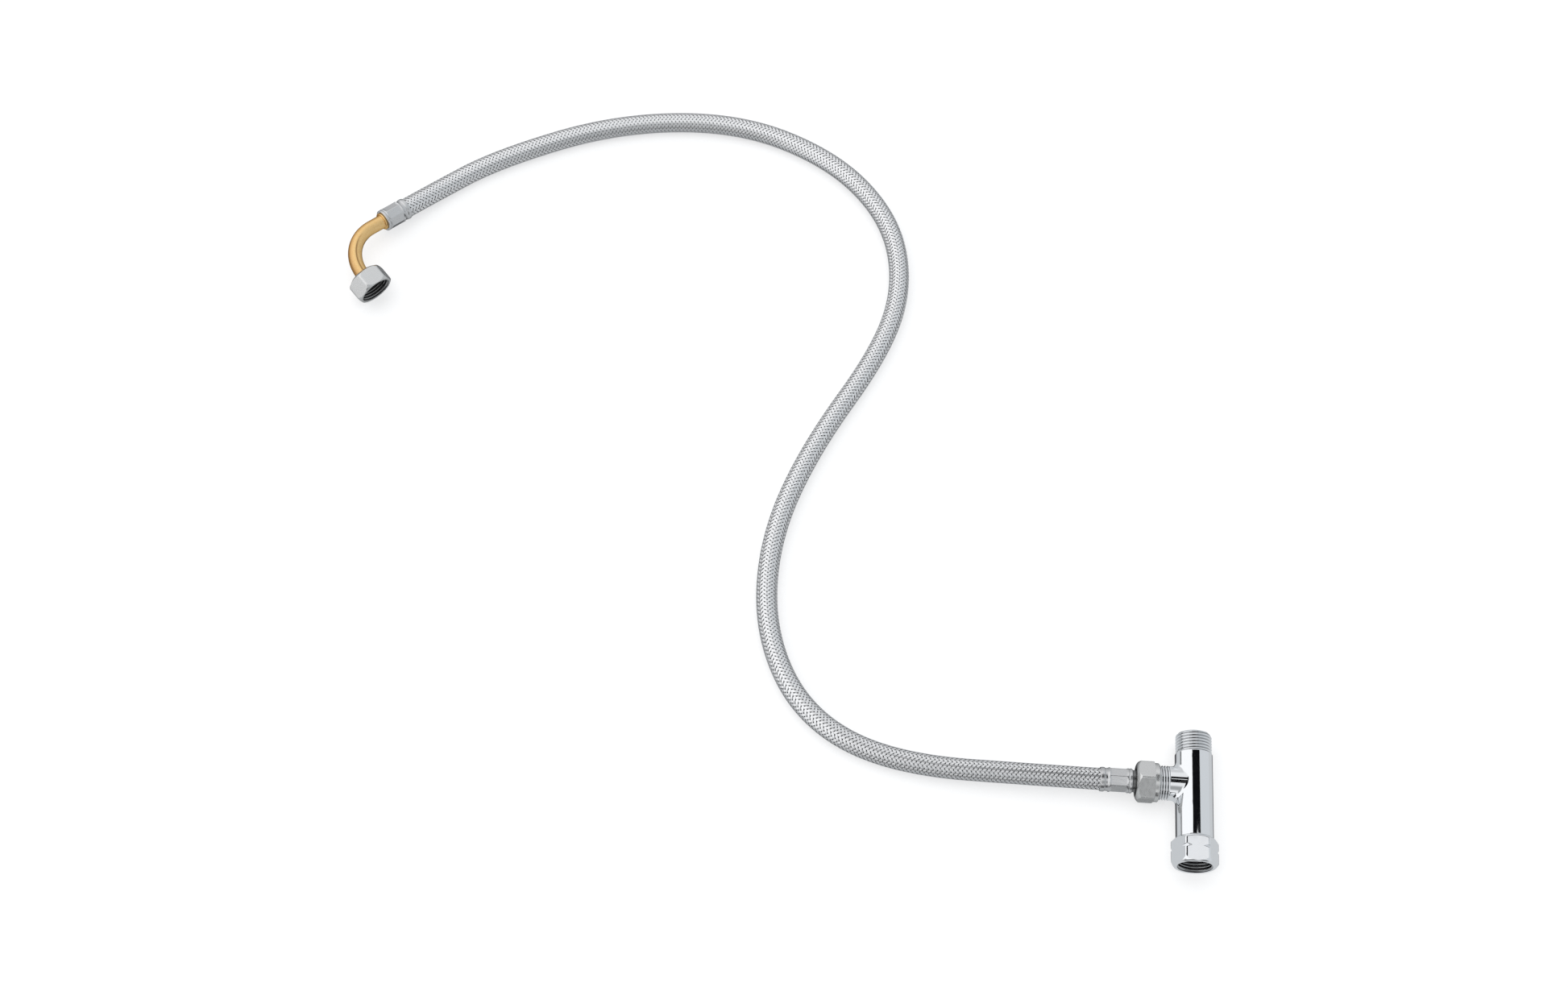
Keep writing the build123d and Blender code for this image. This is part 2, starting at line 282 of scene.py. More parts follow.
def new_material(name, colour, metallic, roughness, edge=(1, 1, 1)):
    """A Principled material; edge tints a metal where it turns away from the eye."""
    material = bpy.data.materials.new(name)
    material.use_nodes = True
    shader = shader_of(material)
    shader.inputs["Base Color"].default_value = (*colour, 1)
    shader.inputs["Metallic"].default_value = metallic
    shader.inputs["Specular Tint"].default_value = (*edge, 1)
    shader.inputs["Roughness"].default_value = roughness
    return material


def attribute(material, name, output="Vector"):
    node = material.node_tree.nodes.new("ShaderNodeAttribute")
    node.attribute_name = name
    return node.outputs[output]


def noise_at(material, place, scale, detail):
    texture = material.node_tree.nodes.new("ShaderNodeTexNoise")
    texture.inputs["Scale"].default_value = scale
    texture.inputs["Detail"].default_value = detail
    feed(material.node_tree, texture.inputs["Vector"], place)
    return texture.outputs["Fac"]


def noise(material, stretch, detail=3.0):
    """Noise over a piece's own round-and-along coordinates, stretched by a scale on each."""
    scale = material.node_tree.nodes.new("ShaderNodeVectorMath")
    scale.operation = "MULTIPLY"
    scale.inputs[1].default_value = stretch
    feed(material.node_tree, scale.inputs[0], attribute(material, "turned"))
    return noise_at(material, scale.outputs[0], 1.0, detail)


def object_noise(material, scale, detail=3.0):
    """Noise over the place in the object's frame, for CAD nodes, which carry no attributes."""
    place = material.node_tree.nodes.new("ShaderNodeTexCoord").outputs["Object"]
    return noise_at(material, place, scale, detail)


def drive_roughness(material, value, low, high):
    tree = material.node_tree
    ramp = map_range(tree, value, NOISE_LOW, NOISE_HIGH, low, high)
    feed(tree, shader_of(material).inputs["Roughness"], ramp)


def add_bump(material, value, height, strength=1.0):
    bump = material.node_tree.nodes.new("ShaderNodeBump")
    bump.inputs["Strength"].default_value = strength
    bump.inputs["Distance"].default_value = height
    feed(material.node_tree, bump.inputs["Height"], value)
    feed(material.node_tree, shader_of(material).inputs["Normal"], bump.outputs[0])


def drive_colour(material, value, dark, light, low=0.35, high=0.65):
    """Runs the base colour from dark to light as the value goes from low to high."""
    ramp = material.node_tree.nodes.new("ShaderNodeValToRGB")
    ends = ramp.color_ramp.elements
    ends[0].position, ends[1].position = low, high
    ends[0].color, ends[1].color = (*dark, 1), (*light, 1)
    feed(material.node_tree, ramp.inputs[0], value)
    feed(material.node_tree, shader_of(material).inputs["Base Color"], ramp.outputs[0])


def paint_recess_shade(material, light):
    """Paints shade into the metal's colour down in the threads and bores: darker where the shade attribute is low.
    """
    tree = material.node_tree
    colour = mix_colour(tree, attribute(material, "shade", "Fac"), RECESS_PAINTED_SHADE, light)
    feed(tree, shader_of(material).inputs["Base Color"], colour)


def darken_side(material, angle, turn, colour, share, end=None):
    """Mixes a colour in about one angle round the pipe; turn is the cosine range of its edge.

    With an end, given in the units of the turned attribute, the stripe fades out before it.
    """
    tree = material.node_tree
    place = attribute(material, "turned")
    facing = tree.nodes.new("ShaderNodeVectorMath")
    facing.operation = "DOT_PRODUCT"
    facing.inputs[1].default_value = (math.cos(angle), math.sin(angle), 0)
    feed(tree, facing.inputs[0], place)
    factor = map_range(tree, facing.outputs["Value"], *turn, 0.0, share)
    if end is not None:
        parts = tree.nodes.new("ShaderNodeSeparateXYZ")
        feed(tree, parts.inputs[0], place)
        factor = multiply(tree, factor, map_range(tree, parts.outputs[2], 0.7 * end, end, 1.0, 0.0))
    base = shader_of(material).inputs["Base Color"]
    feed(tree, base, mix_colour(tree, factor, base.links[0].from_socket, colour))


def chrome():
    light = (0.90, 0.91, 0.92)
    material = new_material("chrome", light, 1.0, 0.05)
    # painted shade in the threads and bores
    paint_recess_shade(material, light)
    drive_roughness(material, noise(material, (3, 3, 3)), 0.03, 0.07)
    return material


def satin_nickel():
    light = (0.74, 0.74, 0.73)
    material = new_material("satin_nickel", light, 1.0, 0.3, (0.4, 0.4, 0.4))
    # painted shade in the threads and bores
    paint_recess_shade(material, light)
    drive_roughness(material, noise(material, (4, 4, 6)), 0.22, 0.34)
    add_bump(material, noise(material, (45, 45, 45)), 0.000012)
    return material


def ferrule_steel():
    """Drawn sheet: its grain runs along the sleeve."""
    material = new_material("ferrule_steel", (0.68, 0.68, 0.68), 1.0, 0.3, (0.35, 0.35, 0.35))
    drive_roughness(material, noise(material, (30, 30, 1.5)), 0.20, 0.36)
    add_bump(material, noise(material, (45, 45, 1.5), 2.0), 0.000012)
    return material


# angles round the pipe: 0 is the inside of its bend, and 270 faces up
BEND_OUTSIDE = math.radians(190.0)
# painted shade: brown mixed into the outside of the bend, darkening that side of the pipe
BEND_PAINTED_SHADE = (0.44, 0.20, 0.07)
SEAM_ANGLE = math.radians(285.0)
SEAM_BROWN = (0.36, 0.19, 0.07)
SEAM_END = 0.037            # distance along the pipe where its seam has faded


def drawn_brass():
    """Bare drawn tube: a fine mottle, painted shade on the outside of its bend, and a dark line along the seam."""
    material = new_material("drawn_brass", (0.90, 0.62, 0.29), 1.0, 0.4, (0.14, 0.08, 0.04))
    drive_colour(material, noise(material, (12, 12, 9), 6.0), (0.90, 0.56, 0.22), (1.0, 0.72, 0.35),
                 NOISE_LOW, NOISE_HIGH)
    # painted shade on the outside of the bend
    darken_side(material, BEND_OUTSIDE, (0.30, 0.95), BEND_PAINTED_SHADE, 0.66)
    darken_side(material, SEAM_ANGLE, (0.988, 0.999), SEAM_BROWN, 0.80, SEAM_END / MM / MARK_LENGTH)
    drive_roughness(material, noise(material, (20, 20, 6)), 0.32, 0.46)
    add_bump(material, noise(material, (40, 40, 30)), 0.00002)
    return material


def plain_brass():
    material = new_material("plain_brass", (0.80, 0.58, 0.31), 1.0, 0.32)
    drive_roughness(material, object_noise(material, 400.0), 0.26, 0.40)
    return material


def plated_tail_painted_shade():
    # painted shade: a dark grey stands for the shadow in the gap between the hose nut and the tee end's ferrule
    material = new_material("plated_tail_painted_shade", (0.22, 0.22, 0.22), 1.0, 0.35)
    drive_roughness(material, object_noise(material, 500.0), 0.28, 0.45)
    return material


def braid_wire():
    """Bright wire whose tone and polish change a little from wire to wire and along each."""
    material = new_material("braid_wire", (0.90, 0.90, 0.90), 1.0, 0.34, (0.4, 0.4, 0.4))
    drive_colour(material, noise(material, (32, 32, 4)), (0.86, 0.86, 0.86), (1.0, 1.0, 1.0))
    drive_roughness(material, noise(material, (20, 20, 3)), 0.29, 0.39)
    return material


def spring_wire():
    material = new_material("spring_wire", (0.55, 0.55, 0.56), 1.0, 0.3)
    drive_roughness(material, object_noise(material, 600.0), 0.24, 0.38)
    return material


def rubber(name, colour):
    material = new_material(name, colour, 0.0, 0.6)
    grain = object_noise(material, 1500.0)
    drive_roughness(material, grain, 0.5, 0.7)
    add_bump(material, grain, 0.00005, 0.4)
    return material


def make_materials():
    return {
        "chrome_plate": chrome(),
        "satin_nickel": satin_nickel(),
        "ferrule_steel": ferrule_steel(),
        "braid_wire": braid_wire(),
        "spring_wire": spring_wire(),
        "raw_brass": drawn_brass(),
        "plain_brass": plain_brass(),
        "plated_tail_painted_shade": plated_tail_painted_shade(),
        "gasket_rubber": rubber("gasket_rubber", (0.05, 0.05, 0.055)),
        "liner_rubber": rubber("liner_rubber", (0.02, 0.02, 0.022)),
    }


# ---- turned pieces ----
FULL_TURN = 2 * math.pi


def even_turn(columns):
    return np.linspace(0, FULL_TURN, columns + 1)


class Shell:
    """Grids of points that together close one piece. Points are (x, y, z) in metres.

    Marks become the turned attribute that the materials read: the cosine and sine of the angle
    about a piece's axis, and the distance along it. Shades are painted shade, from 0 in a recess to 1 in the open.
    """

    def __init__(self):
        self.points = []
        self.marks = []
        self.shades = []
        self.faces = []
        self.count = 0

    def grid(self, points, marks, shades=None, loop=False):
        """Adds points[row, column]; loop also joins the last row to the first."""
        rows, columns = points.shape[:2]
        self.shades.append(np.ones(rows * columns) if shades is None else shades.ravel())
        index = np.arange(rows * columns).reshape(rows, columns) + self.count
        if loop:
            index = np.vstack([index, index[:1]])
        quads = np.stack([index[:-1, :-1], index[:-1, 1:], index[1:, 1:], index[1:, :-1]], axis=-1)
        self.faces.append(quads.reshape(-1, 4))
        self.points.append(points.reshape(-1, 3))
        self.marks.append(marks.reshape(-1, 3))
        self.count += rows * columns

    def build(self, name, material, sharp=32.0):
        mesh = bpy.data.meshes.new(name)
        points = np.concatenate(self.points).astype(np.float32)
        faces = np.concatenate(self.faces).astype(np.int32)
        mesh.vertices.add(len(points))
        mesh.vertices.foreach_set("co", points.ravel())
        mesh.loops.add(faces.size)
        mesh.loops.foreach_set("vertex_index", faces.ravel())
        mesh.polygons.add(len(faces))
        mesh.polygons.foreach_set("loop_start", np.arange(0, faces.size, 4, dtype=np.int32))
        mesh.update(calc_edges=True)
        turned = mesh.attributes.new("turned", "FLOAT_VECTOR", "POINT")
        turned.data.foreach_set("vector", np.concatenate(self.marks).astype(np.float32).ravel())
        shade = mesh.attributes.new("shade", "FLOAT", "POINT")
        shade.data.foreach_set("value", np.concatenate(self.shades).astype(np.float32))
        work = bmesh.new()
        work.from_mesh(mesh)
        bmesh.ops.remove_doubles(work, verts=work.verts, dist=2e-6)
        bmesh.ops.dissolve_degenerate(work, edges=work.edges, dist=1e-6)
        bmesh.ops.recalc_face_normals(work, faces=work.faces)
        work.to_mesh(mesh)
        work.free()
        mesh.shade_smooth()
        if sharp:
            mesh.set_sharp_from_angle(angle=math.radians(sharp))
        mesh.materials.append(material)
        piece = bpy.data.objects.new(name, mesh)
        bpy.context.scene.collection.objects.link(piece)
        return piece


class Turned:
    """A local frame for round work: heights along z_axis, angles from x_axis, in millimetres."""

    def __init__(self, origin, z_axis, x_axis, angles):
        self.origin = np.array(origin, float)
        self.z = unit(z_axis)
        self.x = unit(np.array(x_axis, float) - self.z * np.dot(self.z, x_axis))
        self.y = np.cross(self.z, self.x)
        self.angles = angles

    def place(self, rows):
        """Points, marks and shades of (radius, height) rows, each a number or one per angle."""
        wide = np.ones_like(self.angles)
        radius = np.array([wide * row[0] for row in rows])
        height = np.array([wide * row[1] for row in rows])
        shades = np.array([wide * (row[2] if len(row) > 2 else 1.0) for row in rows])
        c, s = np.cos(self.angles), np.sin(self.angles)
        across = radius[..., None] * (c[:, None] * self.x + s[:, None] * self.y)
        points = self.origin + MM * (across + height[..., None] * self.z)
        marks = np.stack([c + 0 * height, s + 0 * height, height / MARK_LENGTH], axis=-1)
        return points, marks, shades


def unit(v):
    v = np.array(v, float)
    return v / np.linalg.norm(v)


CUT_SHARE, HOLD_SHARE = 0.36, 0.46      # the most of a short side that a rounded corner takes


def soften(corners, radius=0.15, hold=0.22):
    """The same outline with each inner corner rounded, so that its edge catches the light.

    A row held just outside each rounded corner keeps the flat stretches flat in the shading.
    """
    corners = [np.stack(np.broadcast_arrays(*map(np.asarray, c))).astype(float) for c in corners]
    size = max(c.shape[1] if c.ndim > 1 else 1 for c in corners)
    corners = [c if c.ndim > 1 else np.repeat(c[:, None], size, axis=1) for c in corners]
    rows = [corners[0]]
    for a, b, c in zip(corners, corners[1:], corners[2:]):
        back, ahead = a - b, c - b
        back_length = np.maximum(np.linalg.norm(back, axis=0), 1e-9)
        ahead_length = np.maximum(np.linalg.norm(ahead, axis=0), 1e-9)
        back, ahead = back / back_length, ahead / ahead_length
        cut = np.minimum(radius, CUT_SHARE * np.minimum(back_length, ahead_length))
        start, end = b + back * cut, b + ahead * cut
        rows.append(b + back * np.minimum(cut + hold, HOLD_SHARE * back_length))
        for t in (0, 0.25, 0.5, 0.75, 1):
            rows.append((1 - t) ** 2 * start + 2 * t * (1 - t) * b + t ** 2 * end)
        rows.append(b + ahead * np.minimum(cut + hold, HOLD_SHARE * ahead_length))
    rows.append(corners[-1])
    if size == 1:
        return [(float(row[0][0]), float(row[1][0])) for row in rows]
    return [(row[0], row[1]) for row in rows]


def shaded(rows, shade):
    """The same rows with painted shade, a share of the surface's brightness, for bores."""
    return [(row[0], row[1], shade) for row in rows]


def soft_min(a, b, k):
    """The smaller of two values, with the corner between them rounded over about k."""
    return -k * np.log(np.exp(-a / k) + np.exp(-b / k))


ROOT_SHADE = 0.30           # painted shade at the bottom of a thread, against its crests
ROOT_WIDTH = 0.40           # the share of a thread's depth over which that darkness fades
CREST_FLATNESS = 1.9        # how square a thread's crests and roots are


def thread(angles, low, high, pitch, crest, root, start, cone=None, fade=None, per_turn=12):
    """Rows of a right-hand thread from height low to high.

    start is a crest's height at angle 0. cone cuts the radius to an end chamfer, as a function of
    radius and height. fade is the height where the thread runs out.
    """
    turns = angles / FULL_TURN
    step = pitch / per_turn
    first = start + math.floor((low - pitch - start) / step) * step
    rows = []
    for base in np.arange(first, high + pitch + step, step):
        height = np.clip(base + pitch * turns, low, high)
        phase = np.mod((height - start) / pitch - turns, 1.0)
        ramp = 1 - 4 * np.minimum(phase, 1 - phase)
        wave = np.tanh(CREST_FLATNESS * ramp) / math.tanh(CREST_FLATNESS)
        radius = (crest + root) / 2 + (crest - root) / 2 * wave
        if fade is not None:
            share = np.clip(np.abs(height - fade) / pitch, 0, 1)
            radius = root + (radius - root) * share
        depth = np.clip((radius - root) / (crest - root), 0, 1)
        if cone is not None:
            radius = cone(radius, height)
        # painted shade: darker towards the root of the thread
        shade = ROOT_SHADE + (1 - ROOT_SHADE) * np.clip(depth / ROOT_WIDTH, 0, 1)
        rows.append((radius, height, shade))
    return rows


def hexagon(angles, flats, corner_cut=0.22):
    """Radius of a hexagon with a corner at angle 0 and slightly rounded corners."""
    sixth = math.pi / 3
    sharp = (flats / 2) / np.cos(np.mod(angles, sixth) - sixth / 2)
    return soft_min(sharp, np.full_like(sharp, flats / math.sqrt(3) - corner_cut), 0.06)


# G 1/2 thread
G_PITCH = 1.814
G_MAJOR_R = 10.4775
G_MINOR_R = 9.3155
# the branch's finer thread
M_PITCH = 1.5
M_MAJOR_R = 10.0
M_MINOR_R = 9.08
NUT_COLUMNS = 240
MOUTH_R = 10.22             # the inner edge of a G 1/2 nut's front face
CONE_DEPTH, CONE_SLOPE = 0.9, 1.6
# painted shade in the bores and female threads
BORE_SHADE = 0.40


def female_mouth(angles, depth):
    """Rows of a G 1/2 female thread, from its inner end at a depth to the entry cone at 0."""
    def open_out(radius, height):
        return np.maximum(radius, G_MINOR_R + CONE_DEPTH - CONE_SLOPE * height)
    rows = thread(angles, 0.0, depth, G_PITCH, G_MINOR_R, G_MAJOR_R, 0.6, cone=open_out)
    # painted shade in the female thread
    return [(r, z, BORE_SHADE * shade) for r, z, shade in rows[::-1]]


# ---- tee ----
RUN_COLUMNS = 128
RUN_R, RUN_BORE_R = 10.85, 7.25
NECK_R, BRANCH_BORE_R = 9.85, 5.5
FILLET_R = 3.0
RUN_START, RUN_END, OUTLET = 16.15, 67.4, 80.0
NECK_END, BRANCH_END = 14.9, 26.5
SPIGOT_START, SPIGOT_R = 10.6, 8.6
OUTLET_CUT, BRANCH_CUT = 0.15, 0.2      # how far under its roots a male thread's chamfer starts
HOLE_HALF = 16.0            # half height of the stretch of run that holds the junction
JUNCTION_ROWS = 24
FILLET_ROWS = 12
CROWDING = 1.3              # above 1, the run's rows lie closer together beside the fillet


def junction_border():
    """(angle round the run, height from the branch) round the patch that holds the junction."""
    quarter = np.linspace(0, math.pi / 2, RUN_COLUMNS // 4 + 1)
    side = np.linspace(1, -1, JUNCTION_ROWS + 1) * HOLE_HALF
    border = [(a, HOLE_HALF) for a in quarter]
    border += [(math.pi / 2, h) for h in side[1:]]
    border += [(a, -HOLE_HALF) for a in np.concatenate([quarter[::-1][1:], -quarter[1:]])]
    border += [(-math.pi / 2, h) for h in side[::-1][1:]]
    border += [(-a, HOLE_HALF) for a in quarter[::-1][1:]]
    return np.array(border)


def junction_angles():
    """Angles about the branch's axis, one for each point of the border, from +Y towards +Z."""
    border = junction_border()
    return np.unwrap(np.arctan2(border[:, 0] * RUN_R, border[:, 1]))


def junction(shell, run_r, neck_r, fillet_r):
    """The run's wall about the branch, with a rolling-ball fillet; returns where the neck starts."""
    border, angles = junction_border(), junction_angles()
    c, s = np.cos(angles), np.sin(angles)
    reach, across = run_r + fillet_r, neck_r + fillet_r
    ball = np.stack([np.sqrt(reach ** 2 - (across * s) ** 2), across * c, across * s])
    touch_angle = np.arctan2(ball[2], ball[0])
    touch = np.stack([touch_angle, ball[1]], axis=1)

    def on_run(flat):
        angle, height = flat[..., 0], flat[..., 1]
        return np.stack([run_r * np.cos(angle), height, run_r * np.sin(angle)], axis=-1)

    shares = np.linspace(0, 1, FILLET_ROWS + 1)[:, None, None] ** CROWDING
    add_tee_grid(shell, on_run(touch + shares * (border - touch)))
    far = np.linspace(math.pi / 2, 1.5 * math.pi, RUN_COLUMNS // 2 + 1)
    heights = np.linspace(-1, 1, JUNCTION_ROWS + 1) * HOLE_HALF
    add_tee_grid(shell, on_run(np.stack(np.meshgrid(far, heights), axis=-1)))
    if fillet_r:
        to_run = np.stack([-ball[0], 0 * c, -ball[2]]) / reach
        to_neck = np.stack([0 * c, -c, -s])
        spread = np.arccos(np.sum(to_run * to_neck, axis=0))
        share = np.linspace(0, 1, FILLET_ROWS + 1)[:, None]
        weights = np.sin((1 - share) * spread) / np.sin(spread), np.sin(share * spread) / np.sin(spread)
        arc = ball[:, None] + fillet_r * (weights[0] * to_run[:, None] + weights[1] * to_neck[:, None])
        add_tee_grid(shell, np.moveaxis(arc, 0, -1))
    return ball[0]


def add_tee_grid(shell, points):
    """points are (along the branch, height from the branch, up) in millimetres."""
    out, along, up = points[..., 0], points[..., 1], points[..., 2]
    world = np.stack([-out * MM, BRANCH_Y + along * MM, up * MM], axis=-1)
    shell.grid(world, np.stack([out, up, along], axis=-1) / MARK_LENGTH)


def outlet_chamfer(radius, height):
    return np.minimum(radius, G_MINOR_R + (OUTLET - height) - OUTLET_CUT)


def branch_chamfer(radius, height):
    return np.minimum(radius, M_MINOR_R + (BRANCH_END - height) - BRANCH_CUT)


def make_tee(material):
    shell = Shell()
    run = Turned((0, 0, 0), (0, 1, 0), (-1, 0, 0), even_turn(RUN_COLUMNS))
    middle = BRANCH_Y / MM
    top, bottom = middle + HOLE_HALF, middle - HOLE_HALF
    shoulder = soften([(RUN_R, top), (RUN_R, RUN_END), (G_MINOR_R, RUN_END)], 0.3)
    outlet = thread(run.angles, RUN_END, OUTLET, G_PITCH, G_MAJOR_R, G_MINOR_R, OUTLET - 1.0,
                    cone=outlet_chamfer, fade=RUN_END)
    end = soften([(G_MINOR_R - OUTLET_CUT, OUTLET), (RUN_BORE_R + 0.5, OUTLET), (RUN_BORE_R, OUTLET - 0.5),
                  (RUN_BORE_R, top)], 0.12)
    shell.grid(*run.place(shoulder + outlet + end[:8] + shaded(end[8:], BORE_SHADE)))
    groove = [(SPIGOT_R, 14.05), (8.15, 13.85), (8.0, 13.4), (8.15, 12.95), (SPIGOT_R, 12.75)]
    foot = soften([(RUN_R, bottom), (RUN_R, RUN_START), (SPIGOT_R, RUN_START), *groove,
                   (SPIGOT_R, SPIGOT_START), (RUN_BORE_R, SPIGOT_START), (RUN_BORE_R, bottom)], 0.2)
    shell.grid(*run.place(foot))
    branch = Turned((0, BRANCH_Y, 0), (-1, 0, 0), (0, 1, 0), -junction_angles())
    neck_start = junction(shell, RUN_R, NECK_R, FILLET_R)
    bore_start = junction(shell, RUN_BORE_R, BRANCH_BORE_R, 0.0)
    halfway = (neck_start + NECK_END) / 2
    neck = [(NECK_R, neck_start), (NECK_R, halfway)]
    neck += soften([(NECK_R, halfway), (NECK_R, NECK_END), (M_MINOR_R, NECK_END)], 0.25)[1:]
    branch_thread = thread(branch.angles, NECK_END, BRANCH_END, M_PITCH, M_MAJOR_R, M_MINOR_R, 15.75,
                           cone=branch_chamfer)
    bore = [(BRANCH_BORE_R, BRANCH_END), (BRANCH_BORE_R, bore_start)]
    shell.grid(*branch.place(neck + branch_thread + bore))
    tee = shell.build("tee_body_chrome", material)
    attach(tee, "root")
    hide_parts("tee_body")


# ---- nuts ----
def finish_nut(shell, name, material, body, node):
    nut = shell.build(name, material)
    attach(nut, body)
    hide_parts(node)
    return nut


def front_chamfer(side, rim, corner, depth):
    """The turned front of a nut: rows from its rim to the flats, bulging as they open out."""
    rows = []
    for share in (0, 0.25, 0.5, 0.75, 1):
        radius = np.minimum(side, rim + share * (corner - rim))
        rows.append((radius, depth * np.clip((radius - rim) / (corner - rim), 0, 1) ** 1.5))
    return rows


def make_inlet_nut(material):
    """Two hexagons with a turned groove between them, on the tee's spigot."""
    work = Turned(MOUNTS["inlet"]["pos_m"], (0, 1, 0), (1, 0, 0), even_turn(NUT_COLUMNS))
    flats, length, corner_r = 24.0, 16.0, 13.86
    groove_r, groove_at = 12.45, 9.0
    back_r, relief_r, relief_end = 10.95, 10.55, 10.8
    side = hexagon(work.angles, flats)
    notch = np.maximum(side - groove_r, 0) / (corner_r - groove_r) * 1.1
    back = (side - back_r) / (corner_r - back_r) * 2.3
    outside = soften([(MOUTH_R, 0.0), *front_chamfer(side, 11.7, corner_r, 2.7)], 0.1, 0.1)
    outside += soften([
        (side, 4.0), (side, groove_at - notch), (np.minimum(side, groove_r), groove_at),
        (side, groove_at + notch), (side, length - back), (back_r, length),
        (SPIGOT_R + 0.3, length), (SPIGOT_R + 0.3, relief_end),
    ], 0.16)
    inside = [(SPIGOT_R + 0.35, relief_end), (relief_r, relief_end), (relief_r, 8.8)]
    shell = Shell()
    rows = outside + shaded(inside, BORE_SHADE) + female_mouth(work.angles, 8.6)
    shell.grid(*work.place(rows), loop=True)
    finish_nut(shell, "inlet_nut_chrome", material, "inlet_nut", "inlet_nut")


def make_hose_nut(material):
    """A round collar, a hexagon and a domed back, with a hole for the hose's tail."""
    corner = math.radians(7.0)
    joint = JOINTS["hose_nut_spin"]
    front_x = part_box("hose_nut")[1].x
    work = Turned((front_x, joint["pos_m"][1], 0), joint["axis"],
                  (0, -math.sin(corner), math.cos(corner)), even_turn(NUT_COLUMNS))
    collar_r, collar_end, rim_r = 11.2, 2.7, 11.6
    length, hole_r, relief_r, relief_end, play = 13.3, 7.9, 10.35, 10.5, 0.3
    side = hexagon(work.angles, 22.0)
    chamfer = np.maximum(side - rim_r, 0) * 0.55
    dome = [(13.2, 8.6), (13.0, 9.4), (12.6, 10.4), (12.0, 11.3), (11.2, 12.1), (10.2, 12.8),
            (9.2, 13.2), (8.6, length)]
    radii, heights = np.array(dome).T
    meets = np.interp(-side, -radii, heights)
    outside = soften([(10.45, 0.0), (10.7, 0.0), (collar_r, 0.5), (collar_r, collar_end),
                      (np.minimum(side, rim_r), collar_end), (side, collar_end + chamfer),
                      (side, meets)], 0.15)
    outside += [(side, meets)]
    outside += [(np.minimum(side, r), np.maximum(meets, z)) for r, z in dome[1:]]
    outside += soften([dome[-1], (hole_r, length), (hole_r, 12.0)], 0.15)[1:]
    inside = [(hole_r, relief_end), (relief_r, relief_end), (relief_r, 6.4)]
    rows = thread(work.angles, 0.6, 6.1, M_PITCH, M_MINOR_R + play, M_MAJOR_R + play, 1.9)
    shell = Shell()
    shell.grid(*work.place(outside + shaded(inside, BORE_SHADE) + rows[::-1]), loop=True)
    finish_nut(shell, "hose_nut_satin", material, "hose_nut", "hose_nut")


def elbow_frame(angles, corner=0.0):
    """Heights run into the elbow nut from its mouth; angle 0 is turned about the axis from up."""
    mount = MOUNTS["elbow_coupling"]
    axis = unit(mount["axis"])
    up = unit(np.array([0, 0, 1.0]) - axis * axis[2])
    side = np.cross(axis, up)
    x_axis = up * math.cos(corner) + side * math.sin(corner)
    return Turned(mount["pos_m"], -axis, x_axis, angles)


def make_elbow_nut(material):
    """A hexagon with a domed back and a hole for the pipe, which the pipe's collar can't pass."""
    work = elbow_frame(even_turn(NUT_COLUMNS), math.radians(22.5))
    flats, length, corner_r = 23.0, 13.5, 13.28
    hole_r, relief_r, relief_end = 4.85, 9.9, 10.9
    (edge_r, edge_at), (shoulder_r, shoulder_at) = (12.2, 11.4), (9.6, 13.2)
    side = hexagon(work.angles, flats)
    back = np.interp(-side, [-corner_r, -edge_r, -shoulder_r], [9.6, edge_at, shoulder_at])
    outside = soften([(MOUTH_R, 0.0), *front_chamfer(side, 11.35, corner_r, 2.5)], 0.1, 0.1)
    outside += soften([
        (side, 3.6), (side, back), (np.minimum(side, edge_r), np.maximum(back, edge_at)),
        (shoulder_r, shoulder_at), (8.8, length), (hole_r, length), (hole_r, 12.0),
    ], 0.18)
    inside = [(hole_r, relief_end), (relief_r, relief_end), (relief_r, 7.4)]
    shell = Shell()
    rows = outside + shaded(inside, BORE_SHADE) + female_mouth(work.angles, 6.9)
    shell.grid(*work.place(rows), loop=True)
    return finish_nut(shell, "elbow_nut_satin", material, "elbow_nut", "elbow_nut")


# ---- ferrules ----
FERRULE_LENGTH = 18.6
FERRULE_WALL = 1.2
FERRULE_R, FERRULE_BORE_R = 7.2, 6.56
FERRULE_FLATS = 8
TAIL_HOLE_R = 6.45          # the tee end's hole, round the hose's tail
FLAT_R = 6.70               # how far the crimped flats stand from the hose's middle
CRIMP = (
    # height, how fully the flats are pressed there
    (2.7, 0.15), (3.1, 0.6), (3.5, 0.95), (4.0, 1.0), (8.0, 1.0), (12.0, 1.0), (12.4, 0.95),
    (12.8, 0.6), (13.1, 0.2),
)


def make_ferrule(name, node, work, hole_r, material):
    """A crimped sleeve from its lip at height 0: ridge, pressed body, groove, bead."""
    outline = soften([
        (hole_r, 0.0), (6.75, 0.0), (7.15, 0.35), (7.15, 1.45), (6.85, 1.9), (FERRULE_R, 2.3),
    ], 0.18)
    eighth = FULL_TURN / FERRULE_FLATS
    flat = FLAT_R / np.cos(np.mod(work.angles, eighth) - eighth / 2)
    for height, share in CRIMP:
        outline.append((FERRULE_R - share * np.maximum(FERRULE_R - flat, 0), height))
    outline += soften([
        (FERRULE_R, 13.3), (7.0, 13.7), (6.62, 14.5), (6.6, 15.1), (6.62, 15.8), (7.05, 16.2),
        (7.1, 17.2), (7.05, 18.1), (6.85, FERRULE_LENGTH), (FERRULE_BORE_R, FERRULE_LENGTH),
        (FERRULE_BORE_R, FERRULE_WALL), (hole_r, FERRULE_WALL),
    ], 0.2)
    shell = Shell()
    shell.grid(*work.place(outline), loop=True)
    sleeve = shell.build(name, material, sharp=50.0)
    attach(sleeve, "root")
    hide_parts(node)
    return sleeve


